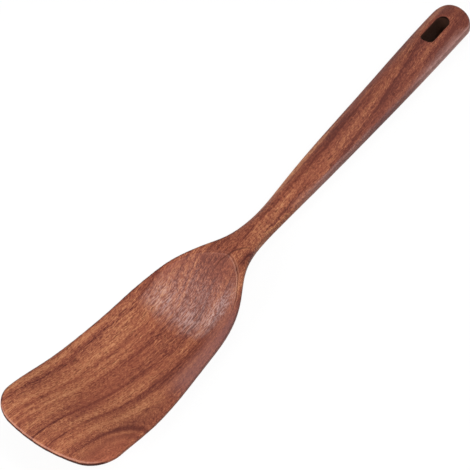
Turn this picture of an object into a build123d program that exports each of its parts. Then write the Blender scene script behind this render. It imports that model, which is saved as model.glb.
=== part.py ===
"""A wooden turner, carved from one board: a dished blade, a slim neck and a handle with a hanging slot."""
from build123d import *
from math import sqrt
import os

# Lengths. The blade runs from its tip to the deepest place of its hollow, the throat from there
# to the slimmest place of the neck, and the handle takes the rest.
overall_length = 350.0
blade_length = 112.0
throat_length = 60.0

# Widths and the rounding of both ends, seen from above
blade_width = 64.8
neck_width = 12.7
grip_width = 21.7
tip_edge_radius = 100.0
tip_corner_radius = 16.0
end_edge_radius = 26.0
end_corner_radius = 7.0

# Thickness of the wood down the middle, height of the side walls, and how far their edges are eased
tip_thickness = 2.8
floor_thickness = 5.1
neck_thickness = 13.7
grip_thickness = 18.6
tip_wall = 2.9
throat_wall = 4.6
handle_wall = 3.8
edge_ease = 0.9

# How deep the hollow is below its rim, and how far the tip and the neck are off the table
hollow_depth = 7.9
tip_lift = 21.2
neck_lift = 2.4

# The hanging slot near the handle's end
slot_length = 20.6
slot_width = 7.0
slot_from_end = 22.7
slot_round = 0.8

# How far apart the sections of the blank stand, and how far its outline is cut up and down
section_spacing = 12.0
cut_height = 60.0

# Rows of shares along the blade, the throat and the handle. Each row holds the place along that
# stretch, the width, the lift of the underside, the thickness, how far the middle lies below the
# rim, and the wall. The first row lies past the tip and the last past the end, because the blank
# is longer than the outline that is cut from it.
blade_shares = (
    (-0.035, 1, 1, 0, 0.33, 0),
    (0.17, 1, 0.873, 0.13, 0.38, 0),
    (0.4, 0.962, 0.401, 0.3, 0.557, 0.1),
    (0.61, 0.893, 0.132, 0.55, 0.747, 0.25),
    (0.8, 0.82, 0.016, 0.72, 0.924, 0.5),
    (0.91, 0.781, 0, 0.75, 0.99, 0.75),
    (1, 0.722, 0, 1, 1, 0.9),
)
throat_shares = (
    (0.2, 0.585, 0.2, 0.42, 0.89, 1),
    (0.417, 0.325, 0.5, 0.926, 0.69, 1),
    (0.65, 0.112, 0.8, 1.1, 0.33, 0.6),
    (1, 0, 1, 1, 0, 0),
)
handle_shares = (
    (0.185, 0.28, 0.85, 0.05),
    (0.52, 0.72, 0.35, 0.5),
    (0.8, 0.97, 0.03, 0.95),
    (0.9, 1, 0.03, 1),
    (1.023, 1, 0.9, -0.3),
)

# Places across a section as shares of its half width there, and the shares of the hollow's depth
# and of the crown's fall at each
across_shares = (0, 0.35, 0.62, 0.8, 0.9, 1, 1.15)
dish_shares = (1, 0.87, 0.52, 0.17, 0.04, 0, -0.02)
fall_shares = (0, 0.12, 0.38, 0.64, 0.81, 1, 1.25)

# The origin lies under the middle of the turner's length
tip_x = -overall_length / 2
handle_length = overall_length - blade_length - throat_length


def between(start, finish, share):
    """The size that lies a share of the way from one size to another."""
    return start + (finish - start) * share


def crown_dip(thickness):
    """How far the middle of the handle lies below its rim: less than nothing, as it is crowned."""
    return (handle_wall - thickness) / 2


# Stations: place along the turner, width, lift, thickness, dip of the middle below the rim, wall
blade_stations = [
    (
        blade_length * place,
        between(neck_width, blade_width, width),
        tip_lift * lift,
        between(tip_thickness, floor_thickness, thickness),
        hollow_depth * dip,
        between(tip_wall, throat_wall, wall),
    )
    for place, width, lift, thickness, dip, wall in blade_shares
]
throat_stations = [
    (
        blade_length + throat_length * place,
        between(neck_width, blade_width, width),
        neck_lift * lift,
        between(floor_thickness, neck_thickness, thickness),
        between(crown_dip(neck_thickness), hollow_depth, dip),
        between(handle_wall, throat_wall, wall),
    )
    for place, width, lift, thickness, dip, wall in throat_shares
]
handle_stations = [
    (
        blade_length + throat_length + handle_length * place,
        between(neck_width, grip_width, width),
        neck_lift * lift,
        between(neck_thickness, grip_thickness, thickness),
        crown_dip(between(neck_thickness, grip_thickness, thickness)),
        handle_wall,
    )
    for place, width, lift, thickness in handle_shares
]
stations = blade_stations + throat_stations + handle_stations
places, widths, lifts, thicknesses, dips, walls = zip(*stations)


def guide(sizes):
    """A smooth curve along the turner through one size at each station."""
    with BuildLine(Plane.XZ) as line:
        Spline(*[(tip_x + place, size) for place, size in zip(places, sizes)])
    return line.line


width_line, lift_line, thickness_line, dip_line, wall_line = map(
    guide, (widths, lifts, thicknesses, dips, walls)
)
lowest_lift = lift_line.bounding_box().min.Z


def size_at(curve, x):
    """The size that a guide curve gives at a section's plane."""
    return curve.intersect(Plane.YZ.offset(x))[0].Z


def across_curve(half):
    """A curve across a section, through the points of its right half and the same on its left."""
    points = [(-y, z) for y, z in reversed(half[1:])] + half
    places_across = [-share for share in reversed(across_shares[1:])] + list(across_shares)
    return Edge.make_spline([Vector(y, z) for y, z in points], parameters=places_across)


def section_edges(x):
    """The blank's section: dished on top in the blade, crowned on the handle, and crowned below."""
    half_width = size_at(width_line, x) / 2
    underside = size_at(lift_line, x) - lowest_lift
    dip = size_at(dip_line, x)
    rim = underside + size_at(thickness_line, x) + dip
    wall_foot = rim - size_at(wall_line, x)
    top_half, underside_half = [], []
    for across, dish, fall in zip(across_shares, dish_shares, fall_shares):
        top_share = dish if dip > 0 else 1 - fall
        top_half.append((half_width * across, rim - dip * top_share))
        underside_half.append((half_width * across, between(underside, wall_foot, fall)))
    top = across_curve(top_half)
    below = across_curve(underside_half)
    with BuildLine() as line:
        add([top, below])
        Line(top @ 0, below @ 0)
        Line(top @ 1, below @ 1)
    return line.edges()


def rounded_end(half_width, edge_radius, corner_radius):
    """Half of a blunt end, as the points of its corner arc, measured from the middle of its edge."""
    corner_y = half_width - corner_radius
    inner_radius = edge_radius - corner_radius
    corner_depth = edge_radius - sqrt(inner_radius**2 - corner_y**2)
    reach = edge_radius / inner_radius
    meeting = (edge_radius - (edge_radius - corner_depth) * reach, corner_y * reach)
    diagonal = corner_radius * sqrt(0.5)
    on_corner = (corner_depth - diagonal, corner_y + diagonal)
    return meeting, on_corner, (corner_depth, half_width)


def outline_edges():
    """The outline seen from above: a blunt tip, waisted sides and a rounder end."""
    tip = [(tip_x + x, y) for x, y in rounded_end(blade_width / 2, tip_edge_radius, tip_corner_radius)]
    end = [(-tip_x - x, y) for x, y in rounded_end(grip_width / 2, end_edge_radius, end_corner_radius)]
    blade_side = [(tip_x + place, width / 2) for place, width, *_ in blade_stations[2:] + throat_stations]
    handle_side = [(tip_x + place, width / 2) for place, width, *_ in handle_stations[:3]]
    with BuildLine() as line:
        Spline(tip[-1], *blade_side, tangents=[(1, 0), (1, 0)])
        Spline(blade_side[-1], *handle_side, end[-1], tangents=[(1, 0), (1, 0)])
        for corner in (tip, end):
            ThreePointArc(*corner)
        mirror(about=Plane.XZ)
        ThreePointArc((tip[0][0], -tip[0][1]), (tip_x, 0), tip[0])
        ThreePointArc((end[0][0], -end[0][1]), (-tip_x, 0), end[0])
    return line.edges()


first_x = tip_x + places[0]
blank_length = places[-1] - places[0]
section_count = round(blank_length / section_spacing)

with BuildPart() as turner:
    for number in range(section_count + 1):
        section_x = first_x + blank_length * number / section_count
        with BuildSketch(Plane.YZ.offset(section_x)):
            make_face(section_edges(section_x))
    loft()
    with BuildSketch(Plane.XY):
        make_face(outline_edges())
    extrude(amount=cut_height, both=True, mode=Mode.INTERSECT)
    chamfer(turner.edges().filter_by(Axis.Z, reverse=True), edge_ease)
    outer_edges = turner.edges()
    with BuildSketch(Plane.XY):
        with Locations((-tip_x - slot_from_end, 0)):
            SlotOverall(slot_length, slot_width)
    extrude(amount=cut_height, both=True, mode=Mode.SUBTRACT)
    slot_rims = (turner.edges() - outer_edges).filter_by(Axis.Z, reverse=True)
    fillet(slot_rims, slot_round)

print("volume", round(turner.part.volume), "mm3")
print("lowest point", round(turner.part.bounding_box().min.Z, 3), "mm")

os.makedirs("parts", exist_ok=True)
turner.part.label = "turner"
export_step(turner.part, "parts/turner.step")
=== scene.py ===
"""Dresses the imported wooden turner: a rounded mesh of its solid, oiled figured wood, light and camera."""
from math import cos, radians, sin, tan

import bpy
from mathutils import Matrix, Vector
from mathutils.kdtree import KDTree


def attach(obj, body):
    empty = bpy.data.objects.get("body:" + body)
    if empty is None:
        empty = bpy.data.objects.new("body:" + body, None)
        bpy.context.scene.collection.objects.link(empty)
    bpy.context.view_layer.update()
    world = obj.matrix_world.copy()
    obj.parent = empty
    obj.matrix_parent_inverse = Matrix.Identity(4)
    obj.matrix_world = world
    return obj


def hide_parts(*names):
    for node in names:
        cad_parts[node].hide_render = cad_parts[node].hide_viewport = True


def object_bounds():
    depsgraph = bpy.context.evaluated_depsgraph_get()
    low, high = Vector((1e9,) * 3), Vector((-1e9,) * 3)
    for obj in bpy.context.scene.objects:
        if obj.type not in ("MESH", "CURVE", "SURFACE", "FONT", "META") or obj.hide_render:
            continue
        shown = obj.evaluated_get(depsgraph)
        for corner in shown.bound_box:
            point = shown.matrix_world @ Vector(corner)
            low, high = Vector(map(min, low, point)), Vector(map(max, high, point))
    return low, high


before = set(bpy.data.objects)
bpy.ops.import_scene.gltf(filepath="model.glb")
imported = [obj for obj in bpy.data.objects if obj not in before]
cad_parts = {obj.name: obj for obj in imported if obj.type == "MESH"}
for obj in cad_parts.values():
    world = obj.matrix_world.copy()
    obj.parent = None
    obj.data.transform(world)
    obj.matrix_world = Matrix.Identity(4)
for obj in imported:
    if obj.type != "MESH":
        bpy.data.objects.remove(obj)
cad_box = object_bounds()

# The camera, fitted to the photo's outline: the point of the turner in the middle of the picture,
# the way the camera looks and how large a metre is there
TARGET = Vector((-0.013182, 0.008184, 0.008))
ELEVATION = radians(50.35)
BEARING = radians(54.335)
FIELD_OF_VIEW = radians(10.0)
PICTURE_SIDE = 470
PIXELS_PER_METRE = 2052.8

# The lamps: the direction that each shines from and its power in watts, then their distance from
# the turner and their side
LAMPS = {
    "key": ((-0.9, 0.1, 0.4), 10.5),
    "front": ((0.07, -0.47, 0.88), 7.5),
    "fill": ((-0.5, -0.5, 0.7), 3.0),
    "overhead": ((0.0, 0.0, 1.0), 3.5),
    "back": ((0.0, 0.6, 0.8), 1.0),
    "low": ((0.0, 0.95, 0.31), 1.5),
    "side": ((0.5, -0.8, 0.15), 1.8),
}
LAMP_DISTANCE = 1.2
LAMP_SIDE = 0.4

# The surround's strength as a light, and the floor: its size, its colour, how far below the turner
# it lies and how white it looks to the camera
AMBIENT = 0.15
FLOOR_SIDE = 6.0
FLOOR_GREY = 0.9
FLOOR_GAP = 0.0002
FLOOR_WHITENESS = 0.93

# The finished mesh, with a wall where its normal points up or down by less than WALL_NORMAL_Z
VOXEL = 0.00055
SMOOTHING_PASSES = 6
SMOOTHING_FACTOR = 0.5
SMOOTHING_LOSS = 0.00012
WALL_NORMAL_Z = 0.3

# Lengths are in metres up to here and in millimetres from here on, and colours are linear light. A
# pair of numbers is where a soft change starts and where it is complete. Two more are its least and
# its most.
MILLIMETRES_PER_METRE = 1000.0

# How far up the surface of the top side faces
TOP_SIDE = (0.0, 0.25)

# The pith that the growth rings run round, how it falls along the turner, and the radius at which
# the turn round it counts as a length
PITH_Y = -22.9
PITH_Z = 18.7
PITH_FALL = 0.036
TURN_RADIUS = 20.0

# How far the grain runs off to the side along the turner: place and drift
GRAIN_DRIFT = (
    (-176.0, 2.8),
    (-145.0, -1.7),
    (-110.0, -2.3),
    (-75.0, -4.6),
    (-40.0, -3.2),
    (-5.0, -2.4),
    (30.0, -2.0),
    (65.0, -1.3),
    (100.0, 1.6),
    (135.0, 6.6),
    (176.0, 11.5),
)

# Growth bands: distance from the pith, and tone from dark 0 to light 1
GROWTH_BANDS = (
    (0.0, 0.50),
    (4.0, 0.44),
    (5.8, 0.28),
    (8.0, 0.46),
    (11.5, 0.68),
    (14.0, 0.54),
    (16.2, 0.38),
    (17.3, 0.20),
    (18.3, 0.56),
    (20.3, 0.70),
    (22.5, 0.56),
    (24.6, 0.42),
    (25.4, 0.10),
    (26.5, 0.38),
    (28.5, 0.32),
    (30.0, 0.42),
    (33.0, 0.40),
    (34.6, 0.28),
    (35.8, 0.50),
    (36.4, 0.74),
    (37.6, 0.54),
    (39.2, 0.66),
    (41.0, 0.44),
    (43.4, 0.70),
    (46.0, 0.58),
    (48.0, 0.46),
    (50.0, 0.18),
    (51.2, 0.44),
    (53.0, 0.72),
    (56.0, 0.50),
    (60.0, 0.40),
    (66.0, 0.60),
)
BAND_REACH = GROWTH_BANDS[-1][0]
BAND_STRENGTH = 0.95

# Noises: cycles a millimetre along three axes, then detail and, where it isn't 0.5, roughness. The
# bends, the clouds and the ripples lie in the part's axes, the slanting ripple in their diagonals,
# and the grains along the turner, out from the pith and round it.
SLOW_BEND = ((0.014, 0.045, 0.045), 2.0)
FINE_BEND = ((0.22, 0.16, 0.16), 1.0)
CLOUDS = ((0.02, 0.07, 0.07), 2.0)
SLANTING_RIPPLE = ((0.30, 0.72, 0.5), 2.0, 0.6)
ACROSS_RIPPLE = ((0.85, 0.3, 0.3), 2.0)
WAVY_RIPPLE = (0.25, 1.95, 1.5)
GRAINS = {
    "broad": ((0.012, 0.28, 0.05), 3.0, 0.6),
    "thin": ((0.035, 1.5, 0.16), 4.0, 0.7),
    "level": ((0.007, 0.6, 0.03), 2.0),
    "fine": ((0.6, 2.4, 2.6), 2.0, 0.8),
    "strokes": ((0.15, 2.0, 2.2), 2.0, 0.6),
    "pores": ((0.24, 2.6, 1.3), 1.0),
}

# How the fine bend bends the wavy ripple, and that ripple's detail, roughness and distortion
WAVY_BEND = (1.0, 1.8, 1.8)
WAVY_NOISE = (2.0, 0.55, 0.1)

# How far the bends push the grain, how far the streaks' edges fray, and how much each noise swings
# the tone or, for the last, a streak's strength
SLOW_REACH = 1.6
FINE_REACH = 0.8
STREAK_FRAY = 1.6
TONE_SWINGS = {"broad": 0.4, "thin": 0.5, "fine": 1.5, "strokes": 0.9}
RIPPLE_SWINGS = {"slanting": 1.2, "wavy": 1.6, "across": 1.3}
RIPPLE_TONE = 0.5
STREAK_SWING = 1.6

# Thin lines where the level noise has a set value: that value, half width and change of tone
GRAIN_LINES = (
    (0.50, 0.022, -0.18),
    (0.56, 0.014, 0.20),
)

# How much the tone changes along the turner: place and change
TURNER_TONE = (
    (-176.0, 0.02),
    (-60.0, 0.0),
    (-35.0, -0.08),
    (-10.0, 0.0),
    (20.0, 0.0),
    (45.0, -0.12),
    (120.0, -0.20),
    (155.0, -0.28),
    (176.0, -0.15),
)

# Streaks that cross the growth bands: middle in x and y, half length, half width and change of
# tone
FIGURE_STREAKS_AND_SHEEN = (
    # The handle, from its end. The light streaks along its back edge, 4 to 7 mm out, are painted sheen.
    (168.0, 0.0, 9.0, 6.5, -0.16),
    (158.0, -7.0, 11.0, 1.0, -0.22),
    (156.0, 6.6, 26.0, 3.2, 0.28),
    (146.0, -5.0, 13.0, 1.6, 0.14),
    (124.0, 5.6, 20.0, 2.4, 0.16),
    (123.0, -1.4, 9.0, 1.4, -0.16),
    (120.0, -7.0, 34.0, 1.2, -0.18),
    (112.0, -1.6, 30.0, 2.2, 0.10),
    (104.0, -4.2, 18.0, 3.2, -0.18),
    (98.0, 4.4, 22.0, 3.0, 0.20),
    (82.0, -6.2, 16.0, 1.6, 0.14),
    (76.0, -8.0, 14.0, 4.0, 0.10),
    (72.0, 4.0, 20.0, 2.6, -0.12),
    (60.0, 2.8, 45.0, 1.8, -0.10),
    (46.0, -4.6, 20.0, 1.6, 0.08),
    (42.0, 6.6, 62.0, 2.2, 0.40),
    (35.0, 5.4, 50.0, 3.2, 0.22),
    (30.0, -4.4, 45.0, 2.6, -0.20),
    (14.0, -2.8, 20.0, 1.6, 0.14),
    (12.0, -5.2, 26.0, 0.9, -0.24),
    # The neck
    (-2.0, -0.6, 26.0, 1.1, 0.16),
    (-8.0, 3.6, 18.0, 1.8, 0.08),
    (-22.0, 3.6, 14.0, 2.6, 0.12),
    (-27.0, -8.2, 7.0, 1.4, -0.30),
    (-28.0, -4.6, 7.0, 3.0, 0.12),
    # The throat and the hollow
    (-38.0, -5.4, 12.0, 2.6, -0.14),
    (-40.0, -18.0, 16.0, 5.0, 0.16),
    (-42.0, -9.5, 9.0, 2.2, 0.10),
    (-44.0, 3.5, 16.0, 3.0, -0.08),
    (-46.0, -3.0, 16.0, 2.0, -0.16),
    (-50.0, 19.0, 14.0, 5.0, -0.14),
    (-54.0, -6.5, 14.0, 3.0, -0.12),
    (-62.0, -25.0, 18.0, 3.6, -0.16),
    (-72.0, 26.0, 34.0, 4.0, -0.28),
    (-80.0, -20.0, 18.0, 2.4, -0.12),
    (-86.0, 21.8, 24.0, 2.8, 0.20),
    (-88.0, 5.5, 20.0, 4.0, -0.12),
    (-94.0, 27.5, 20.0, 1.8, -0.10),
    (-94.0, -17.2, 26.0, 2.6, 0.10),
    (-100.0, -12.0, 18.0, 3.0, -0.12),
    # The blade towards its tip
    (-122.0, -19.0, 20.0, 5.0, 0.12),
    (-128.0, -23.0, 10.0, 1.4, -0.16),
    (-142.0, -1.8, 20.0, 2.6, -0.16),
    (-150.0, -18.0, 26.0, 4.0, 0.12),
    (-152.0, -11.0, 20.0, 4.0, 0.10),
    (-154.0, 9.5, 32.0, 7.0, 0.20),
    (-158.0, -6.2, 20.0, 2.6, 0.20),
    (-160.0, 28.0, 20.0, 4.0, 0.12),
    (-166.0, -25.0, 9.0, 5.0, -0.10),
    (-170.0, 0.0, 8.0, 5.0, -0.12),
)

# An eye in the figure at the tip's front corner: its oval, where it fades in along the turner, and
# its arcs as how far out they lie and their change of tone
EYE_OVAL = (-160.0, -34.0, 23.0, 16.5)
EYE_STARTS = (-170.0, -150.0)
EYE_ARCS = (
    (0.40, 0.0),
    (0.55, 0.10),
    (0.70, -0.18),
    (0.84, 0.12),
    (0.97, -0.36),
    (1.10, 0.06),
    (1.20, 0.0),
)

# Stretches along the turner: a feature fades in over the first two places and out over the others
HOLLOW_STRETCH = (-112.0, -84.0, -44.0, -30.0)
NECK_STRETCH = (-30.0, -12.0, 16.0, 34.0)
FLANK_STRETCH = (-135.0, -95.0, -55.0, -35.0)
FLANK_SHEEN_STRETCH = (-116.0, -98.0, -62.0, -40.0)
NECK_ARC_STRETCH = (-41.0, -36.0, -23.0, -19.0)

# The darker front flank of the blade, and the darker wood along its front edge
FLANK_SIDE = (-5.0, -20.0)
FLANK_TONE = -0.22
FRONT_EDGE_SIDE = (-24.0, -30.0)
FRONT_EDGE_STARTS = (-146.0, -130.0)
FRONT_EDGE_TONE = -0.12

# Wood colours from the darkest streak to the lightest
WOOD_TONES = (
    (0.00, (0.080, 0.020, 0.015)),
    (0.25, (0.155, 0.042, 0.027)),
    (0.50, (0.255, 0.080, 0.043)),
    (0.75, (0.365, 0.139, 0.067)),
    (1.00, (0.480, 0.217, 0.104)),
)

# Redder clouds, two red spots and the rosier handle: places, shares and colours
CLOUD_EDGE = (0.35, 0.70)
CLOUD_SHARE = 0.25
CLOUD_RED = (0.27, 0.070, 0.038)
RED_SPOTS = (
    ((-158.0, -27.0, 24.0, 9.0), 0.35, (0.34, 0.100, 0.055)),
    ((-135.0, -1.0, 34.0, 6.0), 0.25, (0.24, 0.065, 0.040)),
)
HANDLE_STARTS = (20.0, 80.0)
HANDLE_SHARE = 0.2
HANDLE_ROSE = (0.165, 0.053, 0.042)

# Pores: short dark dashes along the grain
PORE_EDGE = (0.60, 0.72)
PORE_SHARE = 0.6
PORE_BROWN = (0.05, 0.016, 0.012)

# The carved hollow seen from above: where its rounded end starts, how long the end and how wide
# half the hollow is, and the power that shapes the end. LAND_EDGE is where the land of its rim rises,
# in shares of the way out.
HOLLOW_END_X = -60.0
HOLLOW_END_LENGTH = 30.0
HOLLOW_HALF_WIDTH = 21.5
HOLLOW_POWER = 1.5
LAND_EDGE = (0.965, 1.035)
LAND_STARTS = (-75.0, -60.0)

# The hollow's painted sheen: its ragged start, its tint, and where it is strongest as ovals
# with their shares
SHEEN_EDGE = (1.02, 0.94)
SHEEN_STARTS = (-79.0, -70.0)
SHEEN_RAGGED_X = 7.0
SHEEN_RAGGED_Y = 4.0
SHEEN_SHARE = 0.15
SHEEN_TINT = (0.25, 0.120, 0.105)
SHEEN_LOBES = (
    (-62.0, 0.0, 26.0, 24.0, 0.45),
    (-67.0, 14.0, 15.0, 9.0, 0.50),
    (-68.0, -3.0, 11.0, 9.0, 0.40),
    (-58.0, -13.5, 21.0, 6.5, 0.80),
)
RIPPLE_RAGGED = 0.3

# Painted shade in the ripple's valleys and painted glints on its crests there: the noise values, the
# least and most share, the colour
SHADED_VALLEYS = ((0.47, 0.32, 0.0, 0.5), (0.10, 0.035, 0.028))
GLINTING_CRESTS = ((0.42, 0.64, 0.08, 0.52), (0.52, 0.38, 0.36))

# Painted highlight, shade and highlight lines at the hollow's end: share of the way out, strength
# and colour
HOLLOW_EDGE_LIGHT_AND_SHADE = (
    (0.965, 0.30, (0.50, 0.28, 0.21)),
    (1.0, 0.5, (0.07, 0.02, 0.014)),
    (1.04, 0.26, (0.50, 0.25, 0.16)),
)
HOLLOW_LINE_REACH = 0.032
HOLLOW_LINE_FRAY = 0.05
HOLLOW_LINE_STARTS = (-62.0, -48.0)
HOLLOW_LINE_SIDE = (4.0, -8.0, 0.25, 1.0)

# A dark line across the start of the neck: an arc round a middle
NECK_ARC_MIDDLE = (-38.0, -22.0, 0.0)
NECK_ARC_RADIUS = 23.3
NECK_ARC_EDGE = (0.7, 0.1)
NECK_ARC_FRAY = 1.2
NECK_ARC_SIDE = (-9.0, -6.5)
NECK_ARC_SHARE = 0.72
NECK_ARC_BROWN = (0.07, 0.02, 0.014)

# A painted grey sheen on the blade's front flank
FLANK_SHEEN_SIDE = (-17.0, -25.0)
FLANK_SHEEN_SHARE = 0.30
FLANK_SHEEN_GREY = (0.24, 0.135, 0.135)

# The handle's front wall, painted with sheen: how it faces, where it starts, the sheen's tones along
# the handle and low down, and its streaks
WALL_FACING = (-0.68, -0.88)
WALL_STARTS = (10.0, 30.0)
WALL_NEAR_NECK = (0.30, 0.17, 0.15)
WALL_MIDDLE = ((60.0, 85.0), (0.13, 0.08, 0.085))
WALL_FAR = ((108.0, 134.0), (0.48, 0.29, 0.26))
LOW_WALL_FACING = (0.1, -0.3)
LOW_WALL_STARTS = (100.0, 134.0)
LOW_WALL_SHARE = 0.6
LOW_WALL_SHEEN = (0.80, 0.56, 0.52)
LOW_WALL_LIFT = 0.25
WALL_STREAKS = (0.3, 0.7, 0.25, 0.66)
WALL_THIN_SWING = 0.6

# Painted shade along the eased edges: the back rim, the handle's end and all others, how wide the
# dark edge is, and how much wider it is along the back rim
BACK_RIM_SIDE = (1.0, 4.0)
BACK_RIM_ENDS = (20.0, -20.0)
END_RIM_STARTS = (167.0, 172.0)
OTHER_RIMS = 0.35
RIM_REACH = (1.0, 0.4)
BACK_RIM_WIDER = (0.6, 0.4)
EDGE_SHADE_SHARE = 0.9
EDGE_SHADE_BLACK = (0.02, 0.007, 0.006)

# The tip's front, by how it faces: a painted highlight along its top edge, where its facing fades in
# and out as a stretch does, and painted shade on its lower wall
FRONT_FACING = (-0.3, -0.6)
FRONT_ENDS = (-150.0, -160.0)
TIP_HIGHLIGHT_FACING = (0.5, 0.7, 0.88, 0.97)
TIP_HIGHLIGHT_SHARE = 0.4
TIP_HIGHLIGHT_PALE = (0.52, 0.27, 0.20)
LOWER_FACING = (0.6, 0.3)

# The hanging slot: its middle, half of its straight stretch and half its width, then how far
# outside its walls the dark starts and is complete, and the height from which the mouth is darkest
SLOT_X = 152.3
SLOT_STRAIGHT = 6.8
SLOT_HALF_WIDTH = 3.5
SLOT_EDGE = (0.35, 0.08)
SLOT_MOUTH_Z = (16.6, 17.4)
SLOT_BROWN = (0.038, 0.016, 0.010)
SLOT_BLACK = (0.006, 0.002, 0.001)

# The oiled finish, and the heights of its relief
ROUGHNESS = 0.55
ROUGHNESS_SWING = 0.12
PORE_ROUGHNESS = 0.2
SPECULAR_LEVEL = 0.08
WOOD_IOR = 1.46
RIPPLE_HEIGHT = 0.16
STROKES_HEIGHT = 0.10
FINE_HEIGHT = 0.05
PORE_HEIGHT = -0.02
LAND_HEIGHT = 0.2


class Nodes:
    """Builds a node tree from short calls. A value is a socket, a number or a row of numbers."""

    def __init__(self, tree):
        self.tree = tree

    def node(self, kind, **settings):
        made = self.tree.nodes.new(kind)
        for name, value in settings.items():
            setattr(made, name, value)
        return made

    def put(self, value, socket):
        if hasattr(value, "is_linked"):
            self.tree.links.new(value, socket)
        else:
            socket.default_value = value

    def math(self, operation, *values):
        made = self.node("ShaderNodeMath", operation=operation)
        for value, socket in zip(values, made.inputs):
            self.put(value, socket)
        return made.outputs[0]

    def add(self, *values):
        total = values[0]
        for value in values[1:]:
            total = self.math("ADD", total, value)
        return total

    def times(self, *values):
        product = values[0]
        for value in values[1:]:
            product = self.math("MULTIPLY", product, value)
        return product

    def swing(self, noise, strength):
        """A noise value as a swing about nothing."""
        return self.times(self.add(noise, -0.5), strength)

    def vector(self, operation, *values):
        made = self.node("ShaderNodeVectorMath", operation=operation)
        for value, socket in zip(values, made.inputs):
            self.put(value, socket)
        return made.outputs["Value" if operation == "LENGTH" else "Vector"]

    def join(self, x, y, z):
        made = self.node("ShaderNodeCombineXYZ")
        for value, socket in zip((x, y, z), made.inputs):
            self.put(value, socket)
        return made.outputs[0]

    def split(self, value):
        made = self.node("ShaderNodeSeparateXYZ")
        self.put(value, made.inputs[0])
        return made.outputs

    def noise(self, place, detail, roughness=0.5, distortion=0.0, colour=False):
        made = self.node("ShaderNodeTexNoise", noise_dimensions="3D")
        self.put(place, made.inputs["Vector"])
        made.inputs["Scale"].default_value = 1.0
        made.inputs["Detail"].default_value = detail
        made.inputs["Roughness"].default_value = roughness
        made.inputs["Distortion"].default_value = distortion
        return made.outputs["Color" if colour else "Fac"]

    def fitted_noise(self, place, scale, detail, roughness=0.5, colour=False):
        """A noise with its own number of cycles a millimetre along each axis."""
        return self.noise(self.vector("MULTIPLY", place, scale), detail, roughness, colour=colour)

    def ramp(self, value, stops, interpolation="LINEAR"):
        """A colour ramp. Each stop is a place and a colour, or a place and a grey."""
        made = self.node("ShaderNodeValToRGB")
        made.color_ramp.interpolation = interpolation
        elements = made.color_ramp.elements
        while len(elements) < len(stops):
            elements.new(0.5)
        for element, (place, colour) in zip(elements, stops):
            element.position = place
            rgb = colour if isinstance(colour, tuple) else (colour,) * 3
            element.color = (*rgb, 1.0)
        self.put(value, made.inputs[0])
        return made.outputs[0]

    def curve(self, value, points):
        """A smooth curve through set points of place and size."""
        places, sizes = zip(*points)
        reach, low, spread = places[-1] - places[0], min(sizes), max(sizes) - min(sizes)
        share = self.math("DIVIDE", self.add(value, -places[0]), reach)
        stops = [((place - places[0]) / reach, (size - low) / spread) for place, size in points]
        return self.add(self.times(self.ramp(share, stops, "CARDINAL"), spread), low)

    def smooth_step(self, value, start, finish, low=0.0, high=1.0):
        """From low at the start to high at the finish, and steady past both."""
        made = self.node("ShaderNodeMapRange", interpolation_type="SMOOTHSTEP")
        names = ("Value", "From Min", "From Max", "To Min", "To Max")
        for name, given in zip(names, (value, start, finish, low, high)):
            self.put(given, made.inputs[name])
        return made.outputs["Result"]

    def stretch(self, value, fade_in, full, last_full, fade_out):
        """1 between the two middle places, 0 past the outer ones."""
        start = self.smooth_step(value, fade_in, full)
        return self.times(start, self.smooth_step(value, fade_out, last_full))

    def near(self, value, place, reach, core=0.0):
        """1 where a value is at a set place, 0 from a reach away."""
        return self.smooth_step(self.math("ABSOLUTE", self.add(value, -place)), reach, core)

    def oval(self, place, middle_x, middle_y, half_length, half_width):
        """How far out a place lies in an oval seen from above: 0 in its middle, 1 on its edge."""
        made = self.node("ShaderNodeMapping", vector_type="TEXTURE")
        self.put(place, made.inputs["Vector"])
        made.inputs["Location"].default_value = (middle_x, middle_y, 0.0)
        made.inputs["Scale"].default_value = (half_length, half_width, 1.0)
        return self.vector("LENGTH", made.outputs[0])

    def spot(self, place, *oval, core=0.2):
        """A soft oval seen from above: 1 in its core, 0 past its edge."""
        return self.smooth_step(self.oval(place, *oval), 1.0, core)

    def mix(self, share, first, second):
        made = self.node("ShaderNodeMix", data_type="RGBA")
        self.put(share, made.inputs[0])
        for value, socket in ((first, made.inputs[6]), (second, made.inputs[7])):
            self.put((*value, 1.0) if isinstance(value, tuple) else value, socket)
        return made.outputs[2]

    def tint(self, wood, colour, *shares):
        """The wood with a colour mixed in, by the product of the shares."""
        return self.mix(self.times(*shares), wood, colour)

    def seen_directly(self):
        """1 for rays from the camera and for reflected and refracted ones, 0 for other light."""
        path = self.node("ShaderNodeLightPath").outputs
        reflected = self.math("MAXIMUM", path["Is Glossy Ray"], path["Is Transmission Ray"])
        return self.math("MAXIMUM", path["Is Camera Ray"], reflected)


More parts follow.
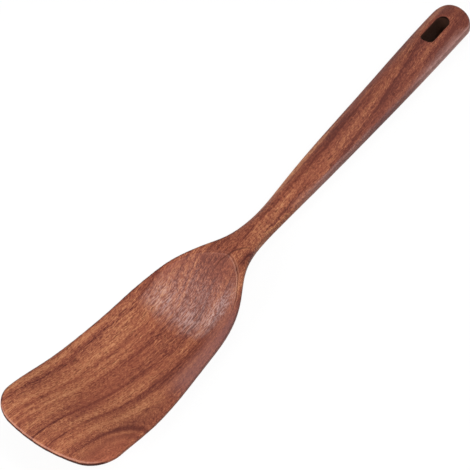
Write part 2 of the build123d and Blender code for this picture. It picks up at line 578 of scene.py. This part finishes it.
class WoodNodes(Nodes):
    """The oiled hardwood: growth bands round a pith, streaks, ripple, pores, a dark arc at the neck, and
    painted sheen, glints, highlights and shade.
    """

    def __init__(self, tree):
        super().__init__(tree)
        coordinates = self.node("ShaderNodeTexCoord").outputs["Object"]
        self.place = self.vector("MULTIPLY", coordinates, (MILLIMETRES_PER_METRE,) * 3)
        self.x, self.y, self.z = self.split(self.place)
        normal = self.node("ShaderNodeNewGeometry").outputs["Normal"]
        self.facing_x, self.facing_y, self.facing_z = self.split(normal)
        self.above = self.smooth_step(self.facing_z, *TOP_SIDE)
        self.set_grain()
        self.set_ripple()
        self.set_hollow()
        self.set_slot()

    def set_grain(self):
        """The bends of the grain, the rings' own coordinates, the noises in them and the streaks' plan."""
        slow_y, slow_z = self.split(self.fitted_noise(self.place, *SLOW_BEND, colour=True))[1:]
        self.fine_bend = self.fitted_noise(self.place, *FINE_BEND, colour=True)
        self.fine_y, self.fine_z = self.split(self.fine_bend)[1:]
        bent_y = self.add(self.y, self.swing(slow_y, SLOW_REACH), self.swing(self.fine_y, FINE_REACH))
        bent_z = self.add(self.z, self.swing(slow_z, SLOW_REACH), self.swing(self.fine_z, FINE_REACH))
        drift = self.curve(self.x, GRAIN_DRIFT)
        from_pith_y = self.math("SUBTRACT", self.add(bent_y, -PITH_Y), drift)
        from_pith_z = self.add(bent_z, -PITH_Z, self.times(self.x, PITH_FALL))
        self.radius = self.vector("LENGTH", self.join(0.0, from_pith_y, from_pith_z))
        around = self.times(self.math("ARCTAN2", from_pith_z, from_pith_y), TURN_RADIUS)
        rings = self.join(self.x, self.radius, around)
        self.grain = {name: self.fitted_noise(rings, *settings) for name, settings in GRAINS.items()}
        self.pores = self.smooth_step(self.grain["pores"], *PORE_EDGE)
        self.plan = self.join(self.x, self.add(bent_y, self.swing(self.grain["thin"], STREAK_FRAY)), 0.0)

    def set_ripple(self):
        """Slanting strokes everywhere, long wavy ones in the hollow, short ones across the neck."""
        x, y = self.x, self.y
        diagonal = self.join(self.add(x, y), self.math("SUBTRACT", x, y), self.z)
        self.slanting = self.fitted_noise(diagonal, *SLANTING_RIPPLE)
        waves = self.vector("MULTIPLY", self.place, WAVY_RIPPLE)
        waves = self.vector("ADD", waves, self.vector("MULTIPLY", self.fine_bend, WAVY_BEND))
        self.wavy = self.noise(waves, *WAVY_NOISE)
        across = self.fitted_noise(self.place, *ACROSS_RIPPLE)
        self.ripple = self.add(
            self.swing(self.slanting, RIPPLE_SWINGS["slanting"]),
            self.times(self.swing(self.wavy, RIPPLE_SWINGS["wavy"]), self.stretch(x, *HOLLOW_STRETCH)),
            self.times(self.swing(across, RIPPLE_SWINGS["across"]), self.stretch(x, *NECK_STRETCH)),
        )

    def set_hollow(self):
        """How far out a place lies in the carved hollow: 1 on its rounded end, less inside."""
        past_start = self.math("MAXIMUM", self.add(self.x, -HOLLOW_END_X), 0.0)
        along = self.math("DIVIDE", past_start, HOLLOW_END_LENGTH)
        sideways = self.math("DIVIDE", self.math("ABSOLUTE", self.y), HOLLOW_HALF_WIDTH)
        self.bowl = self.add(*(self.math("POWER", share, HOLLOW_POWER) for share in (along, sideways)))

    def set_slot(self):
        """1 on the hanging slot's walls, 0 a little way outside them."""
        from_middle = self.math("ABSOLUTE", self.add(self.x, -SLOT_X))
        past_straight = self.math("MAXIMUM", self.add(from_middle, -SLOT_STRAIGHT), 0.0)
        from_slot = self.vector("LENGTH", self.join(past_straight, self.y, 0.0))
        self.slot_wall = self.smooth_step(from_slot, *(SLOT_HALF_WIDTH + edge for edge in SLOT_EDGE))

    def figure(self):
        """The wood's colour before it was worked: bands, grain and streaks, some light streaks along the
        handle's back edge being painted sheen.
        """
        grain = self.grain
        stops = [(radius / BAND_REACH, tone) for radius, tone in GROWTH_BANDS]
        bands = self.ramp(self.math("DIVIDE", self.radius, BAND_REACH), stops, "EASE")
        tone = self.add(self.times(bands, BAND_STRENGTH), self.times(self.ripple, RIPPLE_TONE))
        for name, strength in TONE_SWINGS.items():
            tone = self.add(tone, self.swing(grain[name], strength))
        for level, half_width, change in GRAIN_LINES:
            tone = self.add(tone, self.times(self.near(grain["level"], level, half_width), change))
        uneven = self.add(self.swing(grain["strokes"], STREAK_SWING), 1.0)
        for *oval, change in FIGURE_STREAKS_AND_SHEEN:
            tone = self.add(tone, self.times(self.spot(self.plan, *oval), uneven, change))
        eye = self.curve(self.oval(self.plan, *EYE_OVAL), EYE_ARCS)
        eye = self.times(eye, self.smooth_step(self.x, *EYE_STARTS))
        return self.ramp(self.add(tone, eye, self.tone_by_place()), WOOD_TONES)

    def tone_by_place(self):
        """How the tone changes along the turner, on the blade's front flank and along its front edge."""
        flank = self.times(self.smooth_step(self.y, *FLANK_SIDE), self.stretch(self.x, *FLANK_STRETCH))
        front_edge = self.smooth_step(self.y, *FRONT_EDGE_SIDE)
        front_edge = self.times(front_edge, self.smooth_step(self.x, *FRONT_EDGE_STARTS))
        along = self.curve(self.x, TURNER_TONE)
        return self.add(along, self.times(flank, FLANK_TONE), self.times(front_edge, FRONT_EDGE_TONE))

    def redden(self, wood):
        """Redder clouds, two red spots on the blade and a rosier handle."""
        cloud = self.fitted_noise(self.place, *CLOUDS)
        wood = self.tint(wood, CLOUD_RED, self.smooth_step(cloud, *CLOUD_EDGE), CLOUD_SHARE)
        for oval, share, colour in RED_SPOTS:
            wood = self.tint(wood, colour, self.spot(self.plan, *oval), share)
        return self.tint(wood, HANDLE_ROSE, self.smooth_step(self.x, *HANDLE_STARTS), HANDLE_SHARE)

    def open_pores(self, wood):
        """Pores are short dark dashes along the grain."""
        return self.tint(wood, PORE_BROWN, self.pores, PORE_SHARE)

    def paint_hollow_sheen(self, wood):
        """Painted sheen in the hollow, palest in a few ovals, with painted glints on the crests of its
        ripple and painted shade in its valleys.
        """
        ragged_x = self.add(self.x, self.swing(self.fine_y, SHEEN_RAGGED_X))
        ragged_y = self.add(self.y, self.swing(self.fine_z, SHEEN_RAGGED_Y))
        inside = self.times(self.smooth_step(self.bowl, *SHEEN_EDGE), self.smooth_step(ragged_x, *SHEEN_STARTS))
        in_hollow = self.times(inside, self.above)
        wood = self.tint(wood, SHEEN_TINT, in_hollow, SHEEN_SHARE)
        ragged = self.join(ragged_x, ragged_y, 0.0)
        lobes = self.add(*(self.times(self.spot(ragged, *oval), share) for *oval, share in SHEEN_LOBES))
        patch = self.times(self.math("MINIMUM", lobes, 1.0), in_hollow)
        rippled = self.add(self.wavy, self.swing(self.slanting, RIPPLE_RAGGED))
        for shares, colour in (SHADED_VALLEYS, GLINTING_CRESTS):
            wood = self.tint(wood, colour, patch, self.smooth_step(rippled, *shares))
        return wood

    def paint_hollow_edge_light(self, wood):
        """Painted highlight and shade lines where the hollow ends against the land of its rim."""
        frayed_bowl = self.add(self.bowl, self.swing(self.fine_y, HOLLOW_LINE_FRAY))
        end = self.smooth_step(self.x, *HOLLOW_LINE_STARTS)
        end = self.times(end, self.smooth_step(self.y, *HOLLOW_LINE_SIDE))
        for place, share, colour in HOLLOW_EDGE_LIGHT_AND_SHADE:
            line = self.near(frayed_bowl, place, HOLLOW_LINE_REACH)
            wood = self.tint(wood, colour, line, end, self.above, share)
        return wood

    def darken_neck_arc(self, wood):
        """A dark arc beyond the hollow, across the start of the neck."""
        frayed = self.join(self.x, self.add(self.y, self.swing(self.fine_y, NECK_ARC_FRAY)), 0.0)
        from_middle = self.vector("LENGTH", self.vector("SUBTRACT", frayed, NECK_ARC_MIDDLE))
        arc = self.near(from_middle, NECK_ARC_RADIUS, *NECK_ARC_EDGE)
        cut = self.times(self.smooth_step(self.y, *NECK_ARC_SIDE), self.stretch(self.x, *NECK_ARC_STRETCH))
        return self.tint(wood, NECK_ARC_BROWN, arc, cut, self.above, NECK_ARC_SHARE)

    def paint_flank_sheen(self, wood):
        """A painted grey sheen on the blade's front flank."""
        side = self.smooth_step(self.y, *FLANK_SHEEN_SIDE)
        stretch = self.stretch(self.x, *FLANK_SHEEN_STRETCH)
        return self.tint(wood, FLANK_SHEEN_GREY, side, stretch, FLANK_SHEEN_SHARE)

    def paint_wall_sheen(self, wood):
        """A painted, streaky sheen on the handle's front wall, palest low down near the end."""
        wall = self.smooth_step(self.facing_y, *WALL_FACING)
        wall = self.times(wall, self.smooth_step(self.x, *WALL_STARTS))
        low = self.smooth_step(self.facing_z, *LOW_WALL_FACING)
        low = self.times(low, self.smooth_step(self.x, *LOW_WALL_STARTS))
        tone = WALL_NEAR_NECK
        for starts, colour in (WALL_MIDDLE, WALL_FAR):
            tone = self.mix(self.smooth_step(self.x, *starts), tone, colour)
        tone = self.tint(tone, LOW_WALL_SHEEN, low, LOW_WALL_SHARE)
        thin = self.swing(self.grain["thin"], WALL_THIN_SWING)
        streaks = self.add(self.grain["strokes"], thin, self.times(low, LOW_WALL_LIFT))
        return self.tint(wood, tone, wall, self.smooth_step(streaks, *WALL_STREAKS))

    def paint_edge_shade(self, wood):
        """The eased edges are painted with dark shade, most along the back rim and the end. The tip gets a
        painted highlight along its top edge and painted shade on its lower wall.
        """
        from_wall = self.node("ShaderNodeAttribute", attribute_name="from_wall").outputs["Fac"]
        back_rim = self.smooth_step(self.y, *BACK_RIM_SIDE)
        back_rim = self.times(back_rim, self.smooth_step(self.x, *BACK_RIM_ENDS))
        strength = self.math("MAXIMUM", back_rim, self.smooth_step(self.x, *END_RIM_STARTS))
        strength = self.math("MAXIMUM", strength, OTHER_RIMS)
        reach = [
            self.add(self.times(back_rim, wider), plain)
            for wider, plain in zip(BACK_RIM_WIDER, RIM_REACH)
        ]
        front = self.smooth_step(self.facing_x, *FRONT_FACING)
        front = self.times(front, self.smooth_step(self.x, *FRONT_ENDS))
        behind_front = self.smooth_step(front, 1.0, 0.0)
        rim = self.times(self.smooth_step(from_wall, *reach), strength, behind_front)
        wood = self.tint(wood, TIP_HIGHLIGHT_PALE, front, self.stretch(self.facing_z, *TIP_HIGHLIGHT_FACING), TIP_HIGHLIGHT_SHARE)
        lower_front = self.times(front, self.smooth_step(self.facing_z, *LOWER_FACING))
        return self.tint(wood, EDGE_SHADE_BLACK, self.math("MAXIMUM", rim, lower_front), EDGE_SHADE_SHARE)

    def darken_slot(self, wood):
        """The slot's walls are dark, as they drink more oil, with painted shade, blackest at the mouth,
        because light hardly reaches them.
        """
        tone = self.mix(self.smooth_step(self.z, *SLOT_MOUTH_Z), SLOT_BROWN, SLOT_BLACK)
        return self.mix(self.slot_wall, wood, tone)

    def roughness(self):
        """Soft sheen, duller where the grain is rough, in the pores and on the slot's walls."""
        uneven = self.swing(self.grain["thin"], ROUGHNESS_SWING)
        return self.add(uneven, ROUGHNESS, self.times(self.pores, PORE_ROUGHNESS), self.slot_wall)

    def relief(self):
        """The ripple, the grain and a low step from the hollow's end up to the land of its rim."""
        land = self.times(self.smooth_step(self.bowl, *LAND_EDGE), self.smooth_step(self.x, *LAND_STARTS))
        height = self.add(
            self.times(self.ripple, RIPPLE_HEIGHT),
            self.swing(self.grain["strokes"], STROKES_HEIGHT),
            self.swing(self.grain["fine"], FINE_HEIGHT),
            self.times(self.pores, PORE_HEIGHT),
            self.times(land, self.above, LAND_HEIGHT),
        )
        bump = self.node("ShaderNodeBump")
        bump.inputs["Distance"].default_value = 1.0 / MILLIMETRES_PER_METRE
        bump.inputs["Strength"].default_value = 1.0
        self.put(height, bump.inputs["Height"])
        return bump.outputs[0]


def empty_tree(owner):
    """A material's or world's own node tree, cleared."""
    owner.use_nodes = True
    owner.node_tree.nodes.clear()
    return owner.node_tree


def wood_material():
    """The wood's raw figure, changed step by step by how it was worked, with painted sheen, glints,
    highlights and shade laid over it.
    """
    material = bpy.data.materials.new("oiled_hardwood")
    n = WoodNodes(empty_tree(material))
    shader = n.node("ShaderNodeBsdfPrincipled")
    n.put(shader.outputs[0], n.node("ShaderNodeOutputMaterial").inputs[0])
    wood = n.open_pores(n.redden(n.figure()))
    wood = n.darken_neck_arc(n.paint_hollow_edge_light(n.paint_hollow_sheen(wood)))
    wood = n.paint_wall_sheen(n.paint_flank_sheen(wood))
    wood = n.darken_slot(n.paint_edge_shade(wood))
    n.put(wood, shader.inputs["Base Color"])
    n.put(n.roughness(), shader.inputs["Roughness"])
    n.put(n.relief(), shader.inputs["Normal"])
    shader.inputs["Specular IOR Level"].default_value = SPECULAR_LEVEL
    shader.inputs["IOR"].default_value = WOOD_IOR
    return material


def finished_mesh(node):
    """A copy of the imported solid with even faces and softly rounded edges, kept inside its box."""
    mesh = node.data.copy()
    mesh.attributes.remove(mesh.attributes["custom_normal"])
    piece = bpy.data.objects.new("turner_wood", mesh)
    bpy.context.scene.collection.objects.link(piece)
    bpy.context.view_layer.objects.active = piece
    remesh = piece.modifiers.new("even_faces", "REMESH")
    remesh.mode = "VOXEL"
    remesh.voxel_size = VOXEL
    smooth = piece.modifiers.new("soft_edges", "SMOOTH")
    smooth.factor = SMOOTHING_FACTOR
    smooth.iterations = SMOOTHING_PASSES
    swell = piece.modifiers.new("full_size", "DISPLACE")
    swell.strength = SMOOTHING_LOSS
    swell.mid_level = 0.0
    depsgraph = bpy.context.evaluated_depsgraph_get()
    final = bpy.data.meshes.new_from_object(piece.evaluated_get(depsgraph))
    piece.modifiers.clear()
    piece.data = final
    for vertex in final.vertices:
        vertex.co = [min(max(c, low), high) for c, low, high in zip(vertex.co, *cad_box)]
    for polygon in final.polygons:
        polygon.use_smooth = True
    mark_walls(final)
    return piece


def mark_walls(mesh):
    """Stores each vertex's distance in millimetres from the nearest upright wall."""
    walls = [vertex.co for vertex in mesh.vertices if abs(vertex.normal.z) < WALL_NORMAL_Z]
    tree = KDTree(len(walls))
    for number, place in enumerate(walls):
        tree.insert(place, number)
    tree.balance()
    distances = [tree.find(vertex.co)[2] * MILLIMETRES_PER_METRE for vertex in mesh.vertices]
    mesh.attributes.new("from_wall", "FLOAT", "POINT").data.foreach_set("value", distances)


def add_floor():
    """A pale floor that looks white to the camera and keeps a faint shadow."""
    bpy.ops.mesh.primitive_plane_add(size=FLOOR_SIDE, location=(0.0, 0.0, -FLOOR_GAP))
    floor = bpy.context.object
    floor.name = "floor"
    material = bpy.data.materials.new("floor")
    n = Nodes(empty_tree(material))
    diffuse = n.node("ShaderNodeBsdfDiffuse")
    diffuse.inputs["Color"].default_value = (FLOOR_GREY, FLOOR_GREY, FLOOR_GREY, 1.0)
    mixer = n.node("ShaderNodeMixShader")
    n.put(n.times(n.seen_directly(), FLOOR_WHITENESS), mixer.inputs[0])
    n.put(diffuse.outputs[0], mixer.inputs[1])
    n.put(n.node("ShaderNodeEmission").outputs[0], mixer.inputs[2])
    n.put(mixer.outputs[0], n.node("ShaderNodeOutputMaterial").inputs[0])
    floor.data.materials.append(material)


def add_world():
    """A pale surround that lights the object at the ambient level."""
    world = bpy.data.worlds.new("studio")
    bpy.context.scene.world = world
    n = Nodes(empty_tree(world))
    background = n.node("ShaderNodeBackground")
    strength = n.add(n.times(n.seen_directly(), 1.0 - AMBIENT), AMBIENT)
    n.put(strength, background.inputs["Strength"])
    n.put(background.outputs[0], n.node("ShaderNodeOutputWorld").inputs[0])


def add_softbox(name, direction, watts):
    """A square area light that faces the object from a direction."""
    data = bpy.data.lights.new(name, "AREA")
    data.shape = "SQUARE"
    data.size = LAMP_SIDE
    data.energy = watts
    light = bpy.data.objects.new(name, data)
    bpy.context.scene.collection.objects.link(light)
    towards = Vector(direction).normalized()
    light.location = TARGET + towards * LAMP_DISTANCE
    light.rotation_euler = towards.to_track_quat("Z", "Y").to_euler()


def add_camera():
    """The photo's camera."""
    data = bpy.data.cameras.new("camera")
    data.angle = FIELD_OF_VIEW
    camera = bpy.data.objects.new("camera", data)
    bpy.context.scene.collection.objects.link(camera)
    right = Vector((cos(BEARING), -sin(BEARING), 0.0))
    up = Vector((sin(ELEVATION) * sin(BEARING), sin(ELEVATION) * cos(BEARING), cos(ELEVATION)))
    back = right.cross(up)
    distance = PICTURE_SIDE / 2 / tan(FIELD_OF_VIEW / 2) / PIXELS_PER_METRE
    turned = Matrix((right, up, back)).transposed().to_4x4()
    camera.matrix_world = Matrix.Translation(TARGET + back * distance) @ turned
    bpy.context.scene.camera = camera


turner = finished_mesh(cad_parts["turner"])
turner.data.materials.clear()
turner.data.materials.append(wood_material())
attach(turner, "root")
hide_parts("turner")

add_floor()
add_world()
for name, (direction, watts) in LAMPS.items():
    add_softbox(name, direction, watts)
add_camera()
bpy.context.scene.view_settings.view_transform = "Standard"
